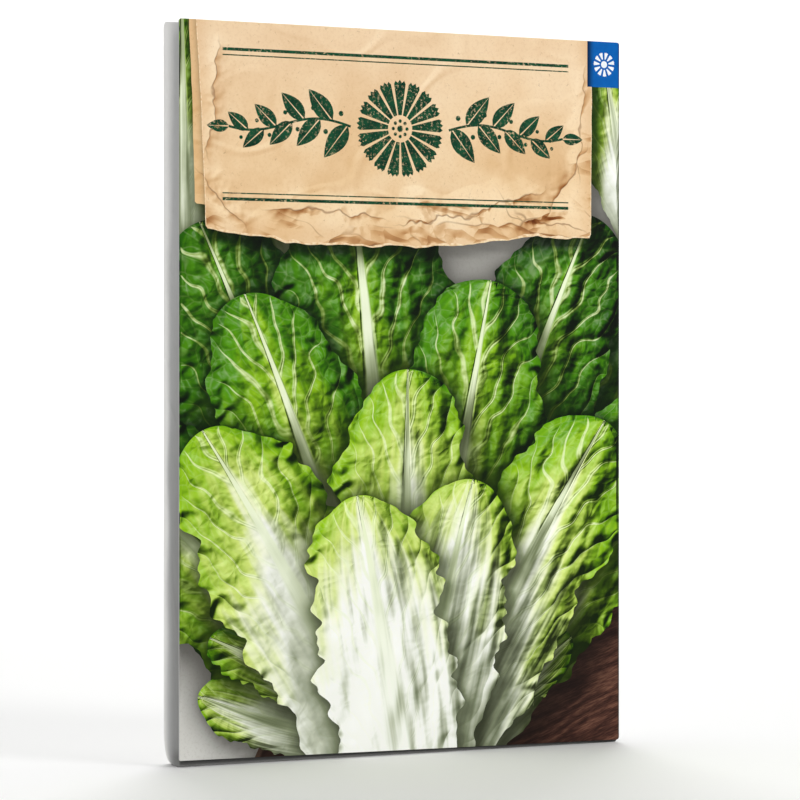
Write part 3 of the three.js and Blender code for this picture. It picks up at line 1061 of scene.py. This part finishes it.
def paper_painted_shade(x, y, z):
    """How much painted shade greys the bag's paper at each point, on the scale that the setter above takes.
    """
    # painted shade on the sides: a grey that fades out over the crease, grows darker downwards and at the
    # foot, is lighter at the very top and darker on the right side
    on_side, low = np.abs(x) > 50, 1 - smooth(z, 10, 60)
    start, end = CREASE - 0.6 - 2.4 * smooth(z, 70, HEIGHT) - 1.2 * low, CREASE + 2.8 + 2.2 * low
    side = on_side * (1 - smooth(y - 0.35 * small_ripple(y * 0.2, z), start, end))
    side *= 0.9 + 0.58 * (1 - smooth(z, 30, 130)) + 0.2 * smooth(y, 0, BODY_FRONT)
    side *= (1 - 0.4 * (1 - smooth(HEIGHT - z, 0.5, 5.0))) * (1 + 0.4 * (x > 0))
    side += on_side * 0.4 * np.exp(-((z - 2.0) / 1.4) ** 2) * smooth(y, 1.5, BODY_FRONT)
    # painted shade in the fold under the panel, darkest just below the panel's edge
    fold = 1.5 + 1.5 * smooth(z / panel_foot(x), 0.1, 0.7)
    fold *= (1 - smooth(y, BODY_FRONT + 1.5, BODY_FRONT + 3.0)) * (1 - smooth(z, 3.0, 5.0))
    fold *= smooth(np.abs(x), 54.7, 54.2)
    # a little painted shade over the whole back from its rear edges on, and inside the top
    shaded = 0.36 * smooth(y, 3.6, 4.1)
    shaded += 0.5 * smooth(z, HEIGHT - 2.4, HEIGHT - 1.2) * smooth(54.2 - np.abs(x), 0, 1)
    return np.maximum(side, fold) + shaded


def bag_body():
    """The bag: its walls as one hollow shell, its two flaps, and the lower back leaf's free border."""
    rings = body_rings()
    rows, columns = rings.shape[:2]
    bm = bmesh.new()
    outer_verts, outer = add_solid(bm, rings.reshape(-1, 3), tube_faces(rows, columns))
    bm.normal_update()
    inner = {v: bm.verts.new(v.co - v.normal * SHEET * MM) for v in outer_verts}
    for face in outer:
        bm.faces.new([inner[v] for v in reversed(face.verts)])
    add_solid(bm, *flap(BOTTOM_FLAP, low=True))
    add_solid(bm, *flap(TOP_FLAP, low=False))
    corners = (SEAM - 0.7, 3.3), (8, 3.3), (8, 3.6), (SEAM - 0.7, 3.6)
    levels = np.linspace(6, HEIGHT - 6, 12)
    add_solid(bm, [(*corner, z) for z in levels for corner in corners], tube_faces(len(levels), 4))
    for edge in bm.edges:
        if edge.calc_face_angle(0) > SHARP:
            edge.smooth = False
    mesh = bpy.data.meshes.new("bag_body")
    bm.to_mesh(mesh)
    bm.free()
    mesh.materials.append(paper)
    made = piece("bag_body", mesh)
    x, y, z = np.array([v.co for v in mesh.vertices]).T / MM
    set_painted_shade(mesh, paper_painted_shade(x, y, z))
    return made


body = bag_body()
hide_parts("outer_bag")


# ---------------- the glue, the sachet and the seed inside

def glue_paint():
    """Dried glue: a thin uneven film, more yellow where it is thick."""
    p = Paint("dried_glue")
    film = p.noise(0.6, 3.0, 0.6)
    colour = p.ramp(film, {0.3: "#eee6cc", 0.7: "#decea0"})
    return p.finish(colour, film * 0.2 + 0.3, 0.5, film * 0.12 + p.noise(3.0, 2.0) * 0.02)


def sachet_paint():
    """The sachet's coated paper: crimped along its sealed border, and crumpled over the seed."""
    p = Paint("sachet_paper")
    rim = p.math("MINIMUM", SACHET_HALF - abs(p.x), p.math("MINIMUM", p.z - SACHET_FOOT, SACHET_TOP - p.z))
    seal = p.step(rim, 5.2, 4.8)
    crimp = p.math("SINE", (p.x + p.z) * (math.tau / 1.1))
    crumple = p.noise(0.12, 3.0, 0.55)
    lumps = p.step(p.cells(p.here, 0.3), 0.6, 0.1) * p.step(p.z, 48, 26)
    relief = seal * crimp * 0.07 + (1.0 - seal) * (crumple * 1.1 + lumps * 0.35)
    tone = p.ramp(p.noise(0.9, 3.0, 0.65), {0.3: "#d6d9dc", 0.7: "#e5e7e9"})
    return p.finish(tone, crumple * 0.12 + 0.4, 0.4, relief)


def seed_paint():
    """Chicory seed: dull straw to dark brown, lighter along its ribs."""
    p = Paint("seed")
    each = p.noise(0.16, 0.0)
    streaks = p.noise(1.0, 3.0, 0.6, at=p.stretch(p.here, 4.0, 4.0, 0.9))
    colour = p.ramp(each * 0.8 + streaks * 0.4 - 0.1, {0.3: "#5c3e24", 0.5: "#8e673e", 0.72: "#bc9868"})
    return p.finish(colour, streaks * 0.2 + 0.6, 0.3, streaks * 0.12)


def dress(word, material):
    """Gives every CAD node with this word in its name its material."""
    for name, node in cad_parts.items():
        if word in name:
            for slot in node.material_slots:
                slot.material = material


dress("_glue", glue_paint())
dress("sachet_", sachet_paint())
dress("seed_", seed_paint())


# ---------------- stage, light and camera

def stage_paint():
    p = Paint("pale_floor")
    colour = p.ramp(p.noise(0.002, 2.0), {0.3: "#f7f7f6", 0.7: "#fafaf9"})
    return p.finish(colour, 0.7, 0.2)


def floor():
    """A round pale floor that curves up into a low wall far away on every side."""
    reach, bend, sides = 3.2, 0.7, 96
    profile = arc((reach, bend), bend, 0, -84.27, 12) + [(r, 0.0) for r in (reach, 2.2, 1.2, 0.4)]
    points = [(x, y, z) for r, z in profile for x, y in disc((0, 0), r, sides)]
    middle = tuple(range(len(points) - sides, len(points)))
    mesh = bpy.data.meshes.new("floor")
    mesh.from_pydata(points, [], grid_faces(len(profile), sides, wrap=True) + [middle])
    mesh.materials.append(stage_paint())
    mesh.polygons.foreach_set("use_smooth", np.full(len(mesh.polygons), True))
    put("floor", mesh)


def lamp(name, place, target, size, power):
    data = bpy.data.lights.new(name, "AREA")
    data.shape, data.size, data.energy = "DISK", size, power
    made = put(name, data)
    made.location = place
    made.rotation_euler = (Vector(target) - Vector(place)).to_track_quat("-Z", "Y").to_euler()


def camera():
    """To the left of the front and level with the packet's middle, with a long lens."""
    yaw, pitch, distance, aside, height = math.radians(27.4), math.radians(89.685), 0.7256, 0.0008, 0.0824
    data = bpy.data.cameras.new("camera")
    data.sensor_width, data.lens = 36.0, 146.8
    data.clip_start, data.clip_end = 0.05, 20
    made = put("camera", data)
    made.location = (-math.sin(yaw) * distance + math.cos(yaw) * aside,
                     -math.cos(yaw) * distance - math.sin(yaw) * aside, height)
    made.rotation_euler = (pitch, 0, -yaw)
    bpy.context.scene.camera = made


def studio():
    """Even white light from all round, and three soft lamps."""
    world = bpy.data.worlds.new("studio")
    world.use_nodes = True
    background = world.node_tree.nodes["Background"]
    background.inputs[0].default_value = (1, 1, 1, 1)
    background.inputs[1].default_value = 0.5
    bpy.context.scene.world = world
    lamp("key", (1.3, -1.9, 0.9), (0, 0, 0.08), 1.0, 21.8)
    lamp("backdrop", (1.0, 2.0, 2.6), (1.0, 2.2, 0), 1.6, 62)
    lamp("overhead", (0.0, 0.0, 1.6), (0, 0, 0), 0.7, 2.8)
    bpy.context.scene.view_settings.view_transform = "Standard"


floor()
studio()
camera()
